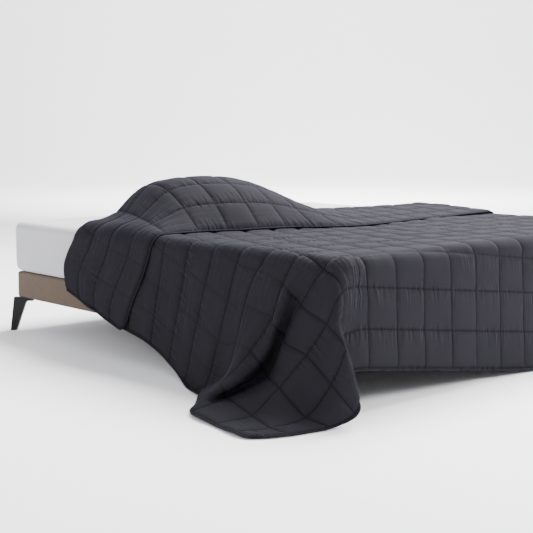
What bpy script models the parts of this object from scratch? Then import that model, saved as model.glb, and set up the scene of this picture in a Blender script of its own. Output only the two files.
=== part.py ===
"""A quilted weighted blanket thrown over a bed: its head end is folded back into a flap with a loose
hump, and its near foot corner falls to the floor in a deep fold.

X runs from the bed's head to its foot, Y from its near side to its far side and Z up, in metres.
The shapes are worked out with the bed's near head corner at 0, 0. place_on_origin then moves them all.
"""

import math

import bmesh
import bpy
import numpy as np

# The bed's base, and the mattress, which stands out over it by OVERHANG all round
BED_LENGTH = 2.00
BED_WIDTH = 1.80
LEG_HEIGHT = 0.150
BASE_HEIGHT = 0.116
MATTRESS_HEIGHT = 0.220
MATTRESS_TOP = LEG_HEIGHT + BASE_HEIGHT + MATTRESS_HEIGHT
MATTRESS_ROUND = 0.036
OVERHANG = 0.010
BASE_ROUND = 0.012
SEAT_GAP = 0.0003

# A leg's outline in its own upright plane: distance outward from the base's corner, height
LEG_THICK = 0.022
LEG_TOP_OUT, LEG_FOOT_OUT, LEG_FOOT_IN = 0.013, 0.032, 0.005
LEG_NECK_IN, LEG_NECK_DROP = -0.038, 0.028
LEG_ARM_IN, LEG_ARM_THICK, LEG_ARM_TIP = -0.080, 0.017, 0.008

# The blanket, measured flat. s is the distance from its foot hem, t the distance from its near hem
CELL = 0.14
CELLS_LONG = 17
CELLS_WIDE = 19
LONG = CELL * CELLS_LONG
WIDE = CELL * CELLS_WIDE
CORNER_ROUND = 0.07
FULL_THICK = 0.014
SEAM_THICK = 0.005
HEM_THICK = 0.005
TOP_CLEAR, SIDE_CLEAR = 0.0003, 0.0085
MID_OVER_BED = FULL_THICK / 2 + TOP_CLEAR

# How it lies: the hem drops at the bed's near foot corner, then how the seams slant across the bed
FOOT_DROP = 0.352
NEAR_DROP = 0.77
LENGTH_KEPT = 0.965
ROW_SLANT, ROW_SLANT_NEAR = 0.147, 0.035
ROW_FAN, ROW_LEVEL = 0.05, 0.04
LEVEL_FULL, LEVEL_FADE_FROM, LEVEL_FADE_TO = 0.28, 0.50, 1.10
ROWS_EVEN, ROWS_FAR = 1.0, 0.4
EDGE_SLANT_NEAR, EDGE_SLANT_FAR = 0.34, 0.10
EDGE_SLANT_FROM, EDGE_SLANT_TO = 0.80, 2.00
HEM_TAKE_UP, TAKE_UP_T = 0.045, 0.30
TAKE_UP_FROM, TAKE_UP_TO = 1.26, 1.60
FOOT_SHIFT, SHIFT_FROM = 0.03, 1.50

# The flap turns on the cross seam TURN. Its layers are HEM_GAP apart at its hem.
TURN = 13 * CELL
HEM_GAP = 0.0125
GATHER_FROM = 0.66
FOLD_EASE = 0.05
# The turn along the blanket's width: t, where the turn ends along the bed, its height, the share of
# its length that the flap keeps past it, and how fast the flap drifts to the near side
FOLD_LINE = (
    (0.00, 0.510, 0.022, 0.74, 0.30),
    (0.06, 0.460, 0.022, 0.84, 0.30),
    (0.13, 0.478, 0.022, 0.86, 0.28),
    (0.25, 0.552, 0.022, 0.84, 0.25),
    (0.37, 0.605, 0.036, 0.83, 0.22),
    (0.46, 0.632, 0.096, 0.88, 0.18),
    (0.52, 0.660, 0.164, 1.00, 0.16),
    (0.58, 0.700, 0.188, 1.00, 0.14),
    (0.66, 0.735, 0.200, 1.00, 0.14),
    (0.77, 0.780, 0.204, 1.00, 0.14),
    (0.90, 0.800, 0.200, 1.00, 0.14),
    (1.04, 0.800, 0.176, 1.00, 0.14),
    (1.18, 0.800, 0.132, 1.00, 0.13),
    (1.33, 0.800, 0.082, 1.00, 0.12),
    (1.50, 0.795, 0.042, 0.96, 0.12),
    (1.80, 0.790, 0.030, 0.90, 0.12),
    (2.66, 0.800, 0.030, 0.80, 0.12),
)

# The hanging sides: how far each leans out from upright, in degrees, and the bend at the floor
FOOT_LEAN = 3.0
FAR_LEAN = 2.0
NEAR_LEAN, NEAR_LEAN_FOOT = 5.0, 14.0
NEAR_LEAN_FROM, NEAR_LEAN_TO = 1.05, 1.50
FLOOR_MID = FULL_THICK / 2
FLOOR_ROUND = 0.035

# Where the seams cross in the corner that falls to the floor, in centimetres in the bed's axes.
# A row for each cross seam, starting with the foot hem. A column for each long seam, starting with
# the near hem, so the first crossing is the blanket's corner. Each crossing is (x, y, z).
CORNER_SEAMS = (
    ((205, -43, 1), (210, -31, 1), (213, -17, 1), (217, -10, 4), (215, -7, 8), (203, -5, 12)),
    ((198, -43, 1), (202, -32, 1), (205, -20, 3), (209, -13, 13), (212, -10, 24), (203, -5, 25)),
    ((186, -41, 1), (189, -28, 2), (192, -19, 10), (197, -12, 20), (202, -8, 30), (204, -3, 40)),
    ((171, -38, 1), (173, -24, 4), (178, -11, 10), (182, -8, 22), (187, -5, 34), (194, -1, 46)),
    ((161, -28, 1), (170, -24, 8), (173, -14, 18), (177, -8, 29), (179, -5, 40), (180, 2, 49)),
    ((150, -18, 1), (160, -14, 8), (161, -10, 19), (161, -6, 31), (164, -3, 43), (167, 6, 49)),
)
CORNER_BLEND_FROM, CORNER_BLEND_TO = 0.66, 0.90
FAR_CORNER_S, FAR_CORNER_T = 0.90, 0.40
LIFT_ROUNDS = 30

# The solid's mesh lines: two to a cell along it, three across it, and more where it turns over
HALF_CELL = CELL / 2
THIRD_CELL = CELL / 3
TURN_LINES = (-0.026, -0.012, 0.012, 0.026)

COLLECTION = "weighted_blanket_on_bed"
COLOURS = {
    "blanket": (0.045, 0.043, 0.055),
    "mattress": (0.72, 0.72, 0.73),
    "bed_base": (0.29, 0.25, 0.21),
    "leg": (0.012, 0.012, 0.013),
}


def clear_scene():
    for obj in list(bpy.data.objects):
        bpy.data.objects.remove(obj, do_unlink=True)


def new_collection(name):
    group = bpy.data.collections.new(name)
    bpy.context.scene.collection.children.link(group)
    return group


def material(name, colour, roughness, metallic=0.0):
    made = bpy.data.materials.new(name)
    made.use_nodes = True
    shader = made.node_tree.nodes["Principled BSDF"]
    shader.inputs["Base Color"].default_value = (*colour, 1.0)
    shader.inputs["Roughness"].default_value = roughness
    shader.inputs["Metallic"].default_value = metallic
    return made


def mesh_object(name, mesh, group, look):
    obj = bpy.data.objects.new(name, mesh)
    group.objects.link(obj)
    mesh.materials.clear()
    mesh.materials.append(look)
    return obj


def soft_box(name, low, high, rounding, segments, group, look):
    """A box from low to high, its edges rounded."""
    bm = bmesh.new()
    bmesh.ops.create_cube(bm, size=1.0)
    for vert in bm.verts:
        vert.co = [lo + (c + 0.5) * (hi - lo) for c, lo, hi in zip(vert.co, low, high)]
    mesh = bpy.data.meshes.new(name)
    bm.to_mesh(mesh)
    bm.free()
    obj = mesh_object(name, mesh, group, look)
    bevel = obj.modifiers.new("Rounded edges", "BEVEL")
    bevel.width = rounding
    bevel.segments = segments
    mesh.shade_smooth()
    return obj


# ---- The blanket's middle surface


def smooth(low, high, value):
    """0 below low, 1 above high, and an even S between them."""
    x = np.clip((value - low) / (high - low), 0, 1)
    return x * x * (3 - 2 * x)


def fold_line(t):
    """(where the turn ends along the bed, its height, the share of its length that the flap keeps,
    its drift) at each t, read from the table and rounded off."""
    columns = np.array(FOLD_LINE).T
    near_by = [t + FOLD_EASE * k / 3 for k in range(-3, 4)]
    return [np.mean([np.interp(at, columns[0], column) for at in near_by], axis=0) for column in columns[1:]]


def lie(s, t):
    """Where a point would lie if the bed's top had no edges: (x, y, its height over the lower layer)."""
    turn_x, height, kept, drift = fold_line(t)
    radius = height / 2
    start = TURN - math.pi * radius / 2
    end = TURN + math.pi * radius / 2
    across = t - NEAR_DROP
    beside = np.minimum(across, 0)
    beyond = np.clip(across, 0, ROWS_EVEN) + ROWS_FAR * np.clip(across - ROWS_EVEN, 0, None)

    def row_x(distance):
        fan = ROW_FAN * distance
        fade = 1 - smooth(LEVEL_FADE_FROM, LEVEL_FADE_TO, distance)
        level = ROW_LEVEL * smooth(0, LEVEL_FULL, distance) * fade
        slanted = (ROW_SLANT + fan - level) * beyond + (ROW_SLANT_NEAR + fan) * beside
        return BED_LENGTH + FOOT_DROP - LENGTH_KEPT * distance + slanted

    below = np.minimum(s, start)
    x = row_x(below) + (turn_x - row_x(start)) * smooth(GATHER_FROM, 1.0, below / start)
    slant = EDGE_SLANT_NEAR + (EDGE_SLANT_FAR - EDGE_SLANT_NEAR) * smooth(EDGE_SLANT_FROM, EDGE_SLANT_TO, t)
    rise = HEM_TAKE_UP * (1 - smooth(0, TAKE_UP_T, t)) * (1 - smooth(TAKE_UP_FROM, TAKE_UP_TO, s))
    shift = FOOT_SHIFT * smooth(SHIFT_FROM, BED_LENGTH, x)
    y = across + slant * np.maximum(BED_LENGTH - x, 0) + rise + shift

    # The turn, then the flap: it comes down to the lower layer in a quarter cosine.
    angle = np.clip((s - start) / radius, 0, math.pi)
    reach = LONG - end
    run = np.clip(s - end, 0, None)
    phase = math.pi / 2 * run / reach
    fall = height - HEM_GAP
    steep = (fall * math.pi / 2 / reach) ** 2
    forward = kept * (run - steep / 4 * (run - reach / math.pi * np.sin(2 * phase)))
    over = radius * (1 - np.cos(angle)) - fall * (1 - np.cos(phase))
    return x - radius * np.sin(angle) + forward, y - drift * forward, over


def hang(past, over, lean):
    """Cloth that has gone past the start of an edge's bend: (outward, downward), with its outside
    lifted by over. It rounds the edge, hangs at its lean and turns outward at the floor."""
    bend = MATTRESS_ROUND + MID_OVER_BED
    most = math.pi / 2 - lean
    angle = np.clip(past / bend, 0, most)
    below = np.clip(past - most * bend, 0, None)
    outward = bend * np.sin(angle) + np.minimum(past, 0)
    downward = bend * (1 - np.cos(angle))
    height = MATTRESS_TOP + MID_OVER_BED - FLOOR_MID
    full = (height - bend * (1 - np.cos(most)) - FLOOR_ROUND * (1 - np.sin(lean))) / np.cos(lean)
    turned = np.clip((below - full) / FLOOR_ROUND, 0, most)
    level = np.clip(below - full - turned * FLOOR_ROUND, 0, None)
    straight = np.minimum(below, full)
    outward = outward + straight * np.sin(lean) + level
    outward = outward + FLOOR_ROUND * (np.cos(lean) - np.cos(lean + turned))
    downward = downward + straight * np.cos(lean)
    downward = downward + FLOOR_ROUND * (np.sin(lean + turned) - np.sin(lean))
    side = np.where(turned > 0, most - turned, angle)
    return outward + over * np.sin(side), downward - over * np.cos(side)


def over_the_bed(s, t):
    """The middle surface, bent over one edge at a time. It isn't used where two edges meet."""
    x, y, over = lie(s, t)
    top = MATTRESS_TOP + MID_OVER_BED
    near_lean = NEAR_LEAN + (NEAR_LEAN_FOOT - NEAR_LEAN) * smooth(NEAR_LEAN_FROM, NEAR_LEAN_TO, x)
    bend_in = MATTRESS_ROUND - OVERHANG
    near_out, near_down = hang(bend_in - y, over, np.radians(near_lean))
    far_start = BED_WIDTH - bend_in
    far_out, far_down = hang(y - far_start, over, math.radians(FAR_LEAN))
    foot_start = BED_LENGTH - bend_in
    foot_out, foot_down = hang(x - foot_start, over, math.radians(FOOT_LEAN))
    near = y < BED_WIDTH / 2
    points = np.stack(
        [
            x,
            np.where(near, bend_in - near_out, far_start + far_out),
            top - np.where(near, near_down, far_down),
        ],
        axis=-1,
    )
    on_foot = np.stack([foot_start + foot_out, y, top - foot_down], axis=-1)
    return np.where((x > foot_start)[..., None], on_foot, points)


def crossings():
    """Every place where two seams cross, the falling corner's from its table."""
    s, t = np.meshgrid(CELL * np.arange(CELLS_LONG + 1), CELL * np.arange(CELLS_WIDE + 1), indexing="ij")
    points = over_the_bed(s, t)
    corner = np.array(CORNER_SEAMS) / 100
    points[: corner.shape[0], : corner.shape[1]] = corner
    return points


def cubic_weights(f):
    return np.stack(
        [f * (-1 + f * (2 - f)), 2 + f * f * (3 * f - 5), f * (1 + f * (4 - 3 * f)), f * f * (f - 1)], axis=-1
    ) / 2


def through_crossings(s, t):
    """A smooth surface through the crossings."""
    points = crossings()
    points = np.concatenate([2 * points[:1] - points[1:2], points, 2 * points[-1:] - points[-2:-1]])
    points = np.concatenate(
        [2 * points[:, :1] - points[:, 1:2], points, 2 * points[:, -1:] - points[:, -2:-1]], axis=1
    )
    row = np.clip((s / CELL + 1e-9).astype(int), 0, CELLS_LONG - 1)
    column = np.clip((t / CELL + 1e-9).astype(int), 0, CELLS_WIDE - 1)
    by_row = cubic_weights(s / CELL - row)
    by_column = cubic_weights(t / CELL - column)
    total = np.zeros((*s.shape, 3))
    for i in range(4):
        for j in range(4):
            weight = (by_row[..., i] * by_column[..., j])[..., None]
            total += weight * points[row + i, column + j]
    return total


def round_corners(s, t):
    """Flat positions with the blanket's four corners rounded off."""
    u = np.clip(1 - np.minimum(s, LONG - s) / CORNER_ROUND, 0, 1)
    v = np.clip(1 - np.minimum(t, WIDE - t) / CORNER_ROUND, 0, 1)
    inward_s = CORNER_ROUND * u * (1 - np.sqrt(1 - v * v / 2))
    inward_t = CORNER_ROUND * v * (1 - np.sqrt(1 - u * u / 2))
    return s + np.where(s < LONG / 2, inward_s, -inward_s), t + np.where(t < WIDE / 2, inward_t, -inward_t)


def middle_surface(s, t):
    s, t = round_corners(s, t)
    near = 1 - smooth(CORNER_BLEND_FROM, CORNER_BLEND_TO, np.maximum(s, t))
    far = (1 - smooth(CORNER_BLEND_FROM, FAR_CORNER_S, s)) * smooth(WIDE - FAR_CORNER_T, WIDE - CELL, t)
    share = np.maximum(near, far)[..., None]
    return share * through_crossings(s, t) + (1 - share) * over_the_bed(s, t)


# ---- The blanket's solid


def off_the_bed(points):
    """(distance from the bed as a rounded block that reaches the floor, the way out)."""
    centre = np.array([BED_LENGTH / 2, BED_WIDTH / 2, 0.0])
    half = np.array([BED_LENGTH / 2 + OVERHANG, BED_WIDTH / 2 + OVERHANG, MATTRESS_TOP]) - MATTRESS_ROUND
    from_centre = points - centre
    past = np.abs(from_centre) - half
    past[..., 2] = from_centre[..., 2] - half[2]
    side = np.sign(from_centre)
    side[..., 2] = 1.0
    outside = np.maximum(past, 0)
    length = np.linalg.norm(outside, axis=-1)
    inner = past.max(axis=-1)
    nearest = np.arange(3) == past.argmax(axis=-1)[..., None]
    way = np.where((length > 0)[..., None], outside / np.maximum(length, 1e-9)[..., None], nearest)
    return np.where(length > 0, length, inner) - MATTRESS_ROUND, way * side


def as_grid(values, shape):
    """A grid mesh's vertex values, which run along its first side first, as an array."""
    return np.reshape(values, (shape[1], shape[0], -1)).swapaxes(0, 1)


def as_list(array):
    return array.swapaxes(0, 1).reshape(-1, *array.shape[2:])


def lift_clear(mesh, points, half_thick):
    """Moves the grid mesh out until the flat faces of its underside clear the bed."""
    for _ in range(LIFT_ROUNDS):
        mesh.vertices.foreach_set("co", as_list(points).reshape(-1))
        mesh.update()
        normals = np.empty(len(mesh.vertices) * 3)
        mesh.vertex_normals.foreach_get("vector", normals)
        under = points - as_grid(normals, points.shape) * half_thick[..., None]
        corners = (under[:-1, :-1], under[1:, :-1], under[:-1, 1:], under[1:, 1:])
        push = np.zeros_like(points)
        for sample in [(a + b) / 2 for a in corners for b in corners]:
            distance, way = off_the_bed(sample)
            wanted = SIDE_CLEAR + (TOP_CLEAR - SIDE_CLEAR) * np.clip(way[..., 2], 0, 1) ** 4
            short = np.clip(wanted - distance, 0, None)[..., None] * way
            for rows in (slice(None, -1), slice(1, None)):
                for columns in (slice(None, -1), slice(1, None)):
                    view = push[rows, columns]
                    view[...] = np.where(np.abs(short) > np.abs(view), short, view)
        points = points + push
        points[..., 2] = np.maximum(points[..., 2], FLOOR_MID)
    mesh.vertices.foreach_set("co", as_list(points).reshape(-1))
    mesh.update()


def mesh_lines():
    """The solid's lines across and along the blanket, as distances from its foot and near hems."""
    across = HALF_CELL * np.arange(2 * CELLS_LONG + 1)
    across = np.sort(np.concatenate([across, TURN + np.array(TURN_LINES)]))
    return across, THIRD_CELL * np.arange(3 * CELLS_WIDE + 1)


def filling(s, t):
    """How thick the quilting is at a point: full in a cell's middle, thin on its seams and hem."""
    puff = np.abs(np.sin(math.pi * s / CELL) * np.sin(math.pi * t / CELL))
    edge = np.minimum(np.minimum(s, LONG - s), np.minimum(t, WIDE - t))
    thin = np.where(edge < HALF_CELL / 2, HEM_THICK, SEAM_THICK)
    return thin + (FULL_THICK - thin) * puff


def rest_on_floor(mesh):
    """Flattens the underside where the cloth lies on the floor."""
    for vert in mesh.vertices:
        if vert.co.z < FLOOR_MID - SEAM_THICK / 4:
            vert.co.z = 0.0


def make_blanket(group):
    across, along = mesh_lines()
    s, t = np.meshgrid(across, along, indexing="ij")
    thick = filling(s, t)
    bm = bmesh.new()
    bmesh.ops.create_grid(bm, x_segments=len(across) - 1, y_segments=len(along) - 1, size=0.5)
    mesh = bpy.data.meshes.new("blanket_sheet")
    bm.to_mesh(mesh)
    bm.free()
    mesh.flip_normals()
    lift_clear(mesh, middle_surface(s, t), thick / 2)

    look = material("charcoal quilted cloth", COLOURS["blanket"], 0.9)
    sheet = mesh_object("blanket_sheet", mesh, group, look)
    amount = sheet.vertex_groups.new(name="filling")
    for k, thickness in enumerate(as_list(thick)):
        amount.add([k], thickness / FULL_THICK, "REPLACE")
    solid = sheet.modifiers.new("Filling", "SOLIDIFY")
    solid.thickness = FULL_THICK
    solid.offset = 0.0
    solid.vertex_group = amount.name

    filled = bpy.data.meshes.new_from_object(sheet.evaluated_get(bpy.context.evaluated_depsgraph_get()))
    bpy.data.objects.remove(sheet, do_unlink=True)
    rest_on_floor(filled)
    filled.shade_smooth()
    return mesh_object("blanket", filled, group, look)


# ---- The bed


def make_mattress(group):
    low = (-OVERHANG, -OVERHANG, MATTRESS_TOP - MATTRESS_HEIGHT)
    high = (BED_LENGTH + OVERHANG, BED_WIDTH + OVERHANG, MATTRESS_TOP)
    look = material("white mattress cover", COLOURS["mattress"], 0.85)
    return soft_box("mattress", low, high, MATTRESS_ROUND, 5, group, look)


def make_base(group):
    low = (0.0, 0.0, LEG_HEIGHT)
    high = (BED_LENGTH, BED_WIDTH, LEG_HEIGHT + BASE_HEIGHT - SEAT_GAP)
    look = material("beige upholstery", COLOURS["bed_base"], 0.9)
    return soft_box("bed_base", low, high, BASE_ROUND, 3, group, look)


def leg_outline():
    """The leg's side, as (outward, up) corners from its foot round its arm."""
    top = LEG_HEIGHT - SEAT_GAP
    return (
        (LEG_FOOT_IN, 0.0),
        (LEG_FOOT_OUT, 0.0),
        (LEG_TOP_OUT, top),
        (LEG_ARM_IN, top),
        (LEG_ARM_IN + LEG_ARM_TIP, top - LEG_ARM_THICK),
        (LEG_NECK_IN - LEG_ARM_TIP, top - LEG_ARM_THICK),
        (LEG_NECK_IN, top - LEG_NECK_DROP),
    )


def make_leg(name, corner, turn, group, look):
    curve = bpy.data.curves.new(name + "_side", "CURVE")
    curve.dimensions = "2D"
    curve.fill_mode = "BOTH"
    curve.extrude = LEG_THICK / 2
    side = curve.splines.new("POLY")
    outline = leg_outline()
    side.points.add(len(outline) - 1)
    for point, (outward, up) in zip(side.points, outline):
        point.co = (outward, up, 0.0, 1.0)
    side.use_cyclic_u = True
    flat = bpy.data.objects.new(name + "_side", curve)
    group.objects.link(flat)
    mesh = bpy.data.meshes.new_from_object(flat.evaluated_get(bpy.context.evaluated_depsgraph_get()))
    bpy.data.objects.remove(flat, do_unlink=True)
    bm = bmesh.new()
    bm.from_mesh(mesh)
    bmesh.ops.remove_doubles(bm, verts=bm.verts, dist=0.00001)
    bm.to_mesh(mesh)
    bm.free()
    leg = mesh_object(name, mesh, group, look)
    leg.location = (*corner, 0.0)
    leg.rotation_euler = (math.pi / 2, 0.0, turn)
    return leg


def make_legs(group):
    look = material("black painted metal", COLOURS["leg"], 0.45, 0.6)
    ends = {"head": 0.0, "foot": BED_LENGTH}
    sides = {"near": 0.0, "far": BED_WIDTH}
    for end, x in ends.items():
        for side, y in sides.items():
            outward = math.atan2(y - BED_WIDTH / 2, math.copysign(BED_WIDTH / 2, x - BED_LENGTH / 2))
            make_leg(f"leg_{end}_{side}", (x, y), outward, group, look)


def place_on_origin(group):
    """Moves every piece so that the origin is under the middle of the whole, on the floor."""
    bpy.context.view_layer.update()
    graph = bpy.context.evaluated_depsgraph_get()
    places = []
    for obj in group.objects:
        shown = obj.evaluated_get(graph)
        mesh = shown.to_mesh()
        places += [shown.matrix_world @ vert.co for vert in mesh.vertices]
        shown.to_mesh_clear()
    middle = [(min(p[k] for p in places) + max(p[k] for p in places)) / 2 for k in range(2)]
    for obj in group.objects:
        obj.location.x -= middle[0]
        obj.location.y -= middle[1]


def main():
    clear_scene()
    group = new_collection(COLLECTION)
    make_mattress(group)
    make_base(group)
    make_legs(group)
    make_blanket(group)
    place_on_origin(group)


main()
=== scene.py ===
"""A weighted blanket, quilted in squares, thrown over a low bed.

The blanket is folded back at the head end in a loose hump. It hangs over the near side and the foot,
and its corner falls to the floor between them. X runs from the bed's head to its foot, Y from its
near side to its far side, and Z up.
"""

import math

import bmesh
import bpy
import numpy as np
from bpy.props import FloatProperty, FloatVectorProperty, IntProperty, PointerProperty
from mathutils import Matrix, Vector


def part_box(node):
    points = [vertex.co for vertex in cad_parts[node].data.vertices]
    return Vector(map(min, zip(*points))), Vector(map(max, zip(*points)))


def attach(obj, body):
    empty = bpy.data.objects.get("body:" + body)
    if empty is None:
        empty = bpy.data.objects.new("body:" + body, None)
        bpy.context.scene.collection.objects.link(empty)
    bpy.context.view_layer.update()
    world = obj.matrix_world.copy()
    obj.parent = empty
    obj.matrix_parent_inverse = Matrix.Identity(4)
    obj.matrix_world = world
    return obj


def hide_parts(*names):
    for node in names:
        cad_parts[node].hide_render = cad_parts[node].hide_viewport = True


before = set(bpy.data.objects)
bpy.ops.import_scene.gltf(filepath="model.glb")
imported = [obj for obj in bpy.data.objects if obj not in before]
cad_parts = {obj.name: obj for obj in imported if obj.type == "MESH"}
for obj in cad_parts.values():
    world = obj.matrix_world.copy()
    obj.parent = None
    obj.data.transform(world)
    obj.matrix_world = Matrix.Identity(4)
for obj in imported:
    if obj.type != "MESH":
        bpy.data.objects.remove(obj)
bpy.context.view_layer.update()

BED_LOW, BED_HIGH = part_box("mattress")
BASE_LOW, BASE_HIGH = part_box("bed_base")

bl_info = {
    "name": "Weighted blanket on a bed",
    "version": (1, 0, 0),
    "blender": (4, 5, 0),
    "location": "3D View > Sidebar > Bedding",
    "description": "Makes a quilted weighted blanket thrown over a low bed",
    "category": "Add Mesh",
}

# The bed, as the solids have it
BED_LENGTH = BASE_HIGH.x - BASE_LOW.x
BED_WIDTH = BASE_HIGH.y - BASE_LOW.y
OVERHANG = BASE_LOW.x - BED_LOW.x
BED_TOP = BED_HIGH.z
MATTRESS_ROUND = 0.036

# The blanket laid flat: s is the distance from its foot hem, t the distance from its near hem
CELL = 0.14
CELLS_LONG = 17
CELLS_WIDE = 19
LONG = CELL * CELLS_LONG
WIDE = CELL * CELLS_WIDE
CORNER_ROUND = 0.07
MID_OVER_BED = 0.0073

# How it lies, from the same values as the solid: the hem drops at the bed's near foot corner, then
# how the seams slant across the bed
FOOT_DROP = 0.352
NEAR_DROP = 0.77
LENGTH_KEPT = 0.965
ROW_SLANT, ROW_SLANT_NEAR = 0.147, 0.035
ROW_FAN, ROW_LEVEL = 0.05, 0.04
LEVEL_FULL, LEVEL_FADE_FROM, LEVEL_FADE_TO = 0.28, 0.50, 1.10
ROWS_EVEN, ROWS_FAR = 1.0, 0.4
EDGE_SLANT_NEAR, EDGE_SLANT_FAR = 0.34, 0.10
EDGE_SLANT_FROM, EDGE_SLANT_TO = 0.80, 2.00
HEM_TAKE_UP, TAKE_UP_T = 0.045, 0.30
TAKE_UP_FROM, TAKE_UP_TO = 1.26, 1.60
FOOT_SHIFT, SHIFT_FROM = 0.03, 1.50

# The flap turns on the cross seam TURN. Its layers are HEM_GAP apart at its hem.
TURN = 13 * CELL
HEM_GAP = 0.0125
GATHER_FROM = 0.66
FOLD_EASE = 0.05
# The turn along the blanket's width: t, where the turn ends along the bed, its height, the share of
# its length that the flap keeps past it, and how fast the flap drifts to the near side
FOLD_LINE = (
    (0.00, 0.510, 0.022, 0.74, 0.30),
    (0.06, 0.460, 0.022, 0.84, 0.30),
    (0.13, 0.478, 0.022, 0.86, 0.28),
    (0.25, 0.552, 0.022, 0.84, 0.25),
    (0.37, 0.605, 0.036, 0.83, 0.22),
    (0.46, 0.632, 0.096, 0.88, 0.18),
    (0.52, 0.660, 0.164, 1.00, 0.16),
    (0.58, 0.700, 0.188, 1.00, 0.14),
    (0.66, 0.735, 0.200, 1.00, 0.14),
    (0.77, 0.780, 0.204, 1.00, 0.14),
    (0.90, 0.800, 0.200, 1.00, 0.14),
    (1.04, 0.800, 0.176, 1.00, 0.14),
    (1.18, 0.800, 0.132, 1.00, 0.13),
    (1.33, 0.800, 0.082, 1.00, 0.12),
    (1.50, 0.795, 0.042, 0.96, 0.12),
    (1.80, 0.790, 0.030, 0.90, 0.12),
    (2.66, 0.800, 0.030, 0.80, 0.12),
)

# The hanging sides: how far each leans out from upright, in degrees, and the bend at the floor
FOOT_LEAN, FAR_LEAN = 3.0, 2.0
NEAR_LEAN, NEAR_LEAN_FOOT = 5.0, 14.0
NEAR_LEAN_FROM, NEAR_LEAN_TO = 1.05, 1.50
FLOOR_MID = 0.007
FLOOR_ROUND = 0.035

# Where the seams cross in the corner that falls to the floor, in centimetres from the bed's near head
# corner: a row for each cross seam from the foot hem, a column for each long seam from the near hem
CORNER_SEAMS = (
    ((205, -43, 1), (210, -31, 1), (213, -17, 1), (217, -10, 4), (215, -7, 8), (203, -5, 12)),
    ((198, -43, 1), (202, -32, 1), (205, -20, 3), (209, -13, 13), (212, -10, 24), (203, -5, 25)),
    ((186, -41, 1), (189, -28, 2), (192, -19, 10), (197, -12, 20), (202, -8, 30), (204, -3, 40)),
    ((171, -38, 1), (173, -24, 4), (178, -11, 10), (182, -8, 22), (187, -5, 34), (194, -1, 46)),
    ((161, -28, 1), (170, -24, 8), (173, -14, 18), (177, -8, 29), (179, -5, 40), (180, 2, 49)),
    ((150, -18, 1), (160, -14, 8), (161, -10, 19), (161, -6, 31), (164, -3, 43), (167, 6, 49)),
)
CORNER_BLEND_FROM, CORNER_BLEND_TO = 0.66, 0.90
FAR_CORNER_S, FAR_CORNER_T = 0.90, 0.40

# How far the cloth is kept off the bed and the floor, and how often it is moved out
CLEAR = 0.0015
FLOOR_CLEAR, FACE_CLEAR = 0.0005, 0.0003
LIFT_ROUNDS = 6

# The cloth's thickness: how steeply a square rises from its seams, how fully the squares are filled,
# the hem's flat width, and the dip of its stitches
PILLOW_RISE = 6
LEAST_FILL, FILL_SPREAD = 0.9, 0.1
HEM_FLAT, HEM_SHADED = 0.016, 0.018
HEM_STITCH, HEM_STITCH_WIDTH, HEM_STITCH_DEPTH = 0.010, 0.0035, 0.45
SEAM_DIP = 0.0028
PULLED_SHARE = 0.7
PULLED_Y, PULLED_FROM, PULLED_TO = 0.05, 0.46, 0.62

# How unevenly it lies, in metres: the height, length along s and length along t of the swells on the
# bed, the pleats on the near side, the waves at the foot and the rumples all over
SWELL, SWELL_LONG, SWELL_WIDE = 0.0030, 0.19, 0.23
PLEAT, PLEAT_LONG, PLEAT_WIDE = 0.0040, 0.085, 0.40
WAVE, WAVE_LONG, WAVE_WIDE = 0.0045, 0.60, 0.16
RUMPLE, RUMPLE_LONG, RUMPLE_WIDE = 0.0016, 0.060, 0.075
SWELL_RAISED = 0.4

# The deep fold in the falling corner: a ridge with a hollow beside it, and where it runs along t
FOLD_HEIGHT = 0.027
RIDGE_S, RIDGE_WIDTH = 0.510, 0.023
HOLLOW_S, HOLLOW_WIDTH = 0.452, 0.025
FOLD_FROM, FOLD_FULL, FOLD_FADES, FOLD_TO = 0.04, 0.18, 0.48, 0.64

# Where the cloth is creased or gathered, as (s, t, reach along s, reach along t), and how strongly
CORNER_CREASES = (0.36, 0.70, 0.30, 0.25)
CREASES_BY_FOLD = (0.64, 0.45, 0.11, 0.18)
CORNER_GATHERS = (0.29, 0.78, 0.10, 0.05)
CREASED_LEAST, CREASED_BENDS, CREASED_BY_FOLD, CREASED_FLAP = 0.15, 0.85, 0.7, 0.6
NEAR_BEND_Y, NEAR_BEND_WIDTH = -0.08, 0.20
GATHER_BELOW, GATHER_ABOVE = 0.40, 0.22
GATHER_PATCH, PATCH_LONG, PATCH_WIDE = 0.85, 0.12, 0.15
GATHER_LESS_AT_EDGE, GATHER_LESS_IN_FLAP, GATHER_AT_CORNER = 0.8, 0.7, 2.0
GATHER_EDGE_WIDTH, DIP_EDGE_WIDTH = 0.07, 0.08

# Heights of the cloth's bumps in metres, and how dark the painted shade in the dip along a seam is
WIDE_CREASES, FINE_CREASES = 0.0070, 0.0034
ROW_GATHERS, COLUMN_GATHERS, NAP = 0.0150, 0.0022, 0.0004
DIP_SHARE, DIP_SHADE = 0.85, 0.22

STITCH_PITCH, STITCH_LENGTH, STITCH_THICKNESS = 0.0095, 0.0065, 0.0014

# The mattress cover's side seam and unevenness, then the base's corner seams and padding
EDGE_CROWDING = 1.8
COVER_SEAM_HEIGHT, COVER_SEAM_WIDTH, COVER_SEAM_DEPTH = 0.030, 0.004, 0.0016
COVER_UNEVEN, COVER_LONG, COVER_HIGH = 0.0012, 0.21, 0.09
BASE_ROUND = 0.012
CORNER_SEAM_REACH, CORNER_SEAM_WIDTH, CORNER_SEAM_DEPTH = 0.03, 0.002, 0.0015
PADDING_UNEVEN, PADDING_LONG, PADDING_HIGH = 0.0008, 0.16, 0.07
# The base's bottom, up to this height, is near black: painted shade that keeps light from bouncing under
# the bed
UNDERSIDE_SHADE_HEIGHT = 0.004

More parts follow.
